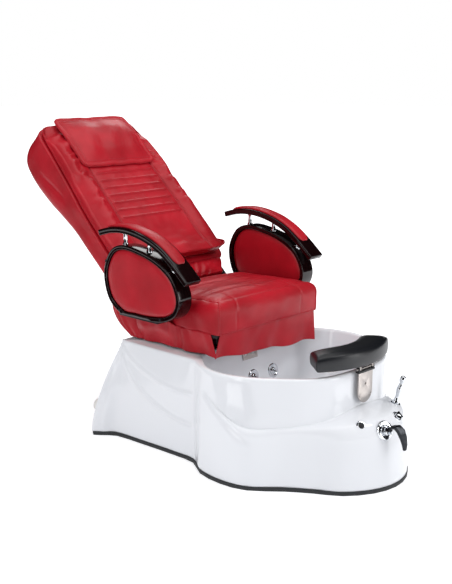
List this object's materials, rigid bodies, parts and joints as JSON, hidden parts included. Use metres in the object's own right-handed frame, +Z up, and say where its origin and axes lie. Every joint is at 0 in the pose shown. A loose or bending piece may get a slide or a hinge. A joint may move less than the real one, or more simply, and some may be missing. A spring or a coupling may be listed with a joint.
{
  "type": "pedicure spa chair",
  "caption": "Reclining massage chair with bowed arms on a moulded base with a foot basin, hinged footrest, mixer lever, diverter, hand shower and swivel jets.",
  "frame": {"origin": "on the floor, on the centre plane, under the waist where the seat's pedestal meets the foot basin", "axes": "+Z up, the sitter faces -Y, +X is the sitter's left"},
  "size_m": [0.7392, 1.6127, 1.1001],
  "materials": {
    "white_shell": "glossy white moulding",
    "black_trim": "matt rubber trim",
    "frame_paint": "black painted steel tube",
    "chrome_fittings": "polished",
    "drain_plastic": "plain pipe",
    "machine_plastic": "moulded housing",
    "stainless": "brushed",
    "black_metal": "gloss black",
    "black_plastic": "satin",
    "jet_plastic": "polished",
    "footrest_rubber": "moulded polyurethane skin",
    "pan_board": "black covered plywood",
    "red_leather": "semi-gloss red upholstery",
    "black_lacquer": "black gloss lacquer",
    "roller_plastic": "moulded"
  },
  "bodies": {
    "base": {"base_shell": "white_shell", "base_trim": "black_trim", "chassis_frame": "frame_paint", "seat_rails": "frame_paint", "drain_fitting": "chrome_fittings", "drain_pipe": "drain_plastic", "jet_bezels": "chrome_fittings", "waterfall_spout": "chrome_fittings", "jet_pump": "machine_plastic", "mixer_body": "chrome_fittings", "diverter_body": "chrome_fittings", "air_button_bezel": "chrome_fittings", "spray_holder": "chrome_fittings", "footrest_guide": "stainless", "slide_motor": "machine_plastic"},
    "mixer_hub": {"mixer_hub": "chrome_fittings"},
    "mixer_lever": {"mixer_lever": "black_metal"},
    "diverter": {"diverter_knob": "chrome_fittings"},
    "air_button": {"air_button": "black_plastic"},
    "hand_shower": {"spray_handle": "chrome_fittings"},
    "jet_1": {"jet_nozzle_1": "jet_plastic"},
    "jet_2": {"jet_nozzle_2": "jet_plastic"},
    "jet_3": {"jet_nozzle_3": "jet_plastic"},
    "footrest_post": {"footrest_post": "stainless", "footrest_hinge": "frame_paint"},
    "footrest": {"footrest_plate": "stainless", "footrest_pad": "footrest_rubber"},
    "slide_screw": {"slide_screw": "stainless"},
    "carriage": {"seat_carriage": "frame_paint", "seat_pan": "pan_board", "seat_cushion": "red_leather", "skirt_front": "red_leather", "skirt_right": "red_leather", "skirt_left": "red_leather", "skirt_rear": "red_leather", "arm_brackets": "frame_paint", "arm_ring_right": "black_lacquer", "arm_ring_left": "black_lacquer", "arm_panel_right": "red_leather", "arm_panel_left": "red_leather", "arm_bar_right": "black_lacquer", "arm_bar_left": "black_lacquer", "arm_pad_right": "red_leather", "arm_pad_left": "red_leather", "arm_posts": "chrome_fittings", "arm_bolts": "chrome_fittings", "recline_pins": "stainless", "recline_actuator": "machine_plastic"},
    "actuator_rod": {"actuator_rod": "stainless"},
    "back": {"back_frame": "frame_paint", "back_shell": "red_leather", "back_cushion": "red_leather", "lumbar_cushion": "red_leather", "head_pillow": "red_leather", "massage_rails": "stainless", "massage_motor": "machine_plastic"},
    "massage_carriage": {"massage_carriage": "machine_plastic"},
    "massage_rollers": {"massage_rollers": "roller_plastic"},
    "massage_screw": {"massage_screw": "stainless"}
  },
  "joints": [
    {"name": "seat_slide", "type": "slide", "parent": "base", "child": "carriage", "axis": [0, 1, 0], "range_m": [-0.08, 0.03]},
    {"name": "slide_screw_turn", "type": "hinge", "parent": "base", "child": "slide_screw", "pos_m": [0, 0.15, 0.368], "axis": [0, 1, 0], "continuous": true},
    {"name": "back_recline", "type": "hinge", "parent": "carriage", "child": "back", "pos_m": [0, 0.34, 0.47], "axis": [1, 0, 0], "range_deg": [-10, 20]},
    {"name": "actuator_push", "type": "slide", "parent": "carriage", "child": "actuator_rod", "axis": [0, 1, 0], "range_m": [-0.0145, 0.029]},
    {"name": "massage_lift", "type": "slide", "parent": "back", "child": "massage_carriage", "axis": [0, 0.7193, 0.6947], "range_m": [0, 0.38]},
    {"name": "roller_turn", "type": "hinge", "parent": "massage_carriage", "child": "massage_rollers", "pos_m": [0, 0.5209, 0.66416], "axis": [1, 0, 0], "continuous": true},
    {"name": "massage_screw_turn", "type": "hinge", "parent": "back", "child": "massage_screw", "pos_m": [0, 0.63607, 0.73923], "axis": [0, 0.7193, 0.6947], "continuous": true},
    {"name": "footrest_height", "type": "slide", "parent": "base", "child": "footrest_post", "axis": [0, 0, 1], "range_m": [0, 0.04]},
    {"name": "footrest_tilt", "type": "hinge", "parent": "footrest_post", "child": "footrest", "pos_m": [0, -0.4759, 0.364], "axis": [1, 0, 0], "range_deg": [-5, 35]},
    {"name": "mixer_turn", "type": "hinge", "parent": "base", "child": "mixer_hub", "pos_m": [-0.045, -0.58663, 0.194], "axis": [-0.205, -0.9287, 0.309], "range_deg": [-45, 45]},
    {"name": "mixer_lift", "type": "hinge", "parent": "mixer_hub", "child": "mixer_lever", "pos_m": [-0.04795, -0.60001, 0.19845], "axis": [-0.9765, 0.2156, 0], "range_deg": [0, 20]},
    {"name": "diverter_turn", "type": "hinge", "parent": "base", "child": "diverter", "pos_m": [0.04, -0.57412, 0.214], "axis": [0.0949, -0.7371, 0.6691], "range_deg": [0, 90]},
    {"name": "button_press", "type": "slide", "parent": "base", "child": "air_button", "axis": [0.3726, 0.643, -0.6691], "range_m": [0, 0.004], "stiffness_N_per_m": 900, "springref_m": -0.001},
    {"name": "hand_shower_lift", "type": "slide", "parent": "base", "child": "hand_shower", "axis": [0.1213, -0.2093, 0.9703], "range_m": [0, 0.15]},
    {"name": "jet_1_aim", "type": "hinge", "parent": "base", "child": "jet_1", "pos_m": [-0.098, 0.00926, 0.22549], "axis": [1, 0, 0], "range_deg": [-12, 12]},
    {"name": "jet_2_aim", "type": "hinge", "parent": "base", "child": "jet_2", "pos_m": [0.006, 0.00926, 0.22549], "axis": [1, 0, 0], "range_deg": [-12, 12]},
    {"name": "jet_3_aim", "type": "hinge", "parent": "base", "child": "jet_3", "pos_m": [0.11, 0.00926, 0.22549], "axis": [1, 0, 0], "range_deg": [-12, 12]}
  ],
  "couplings": [
    {"joint": "slide_screw_turn", "follows": "seat_slide", "rad_per_m": 785.4},
    {"joint": "actuator_push", "follows": "back_recline", "m_per_rad": 0.082},
    {"joint": "massage_screw_turn", "follows": "massage_lift", "rad_per_m": 785.4}
  ]
}
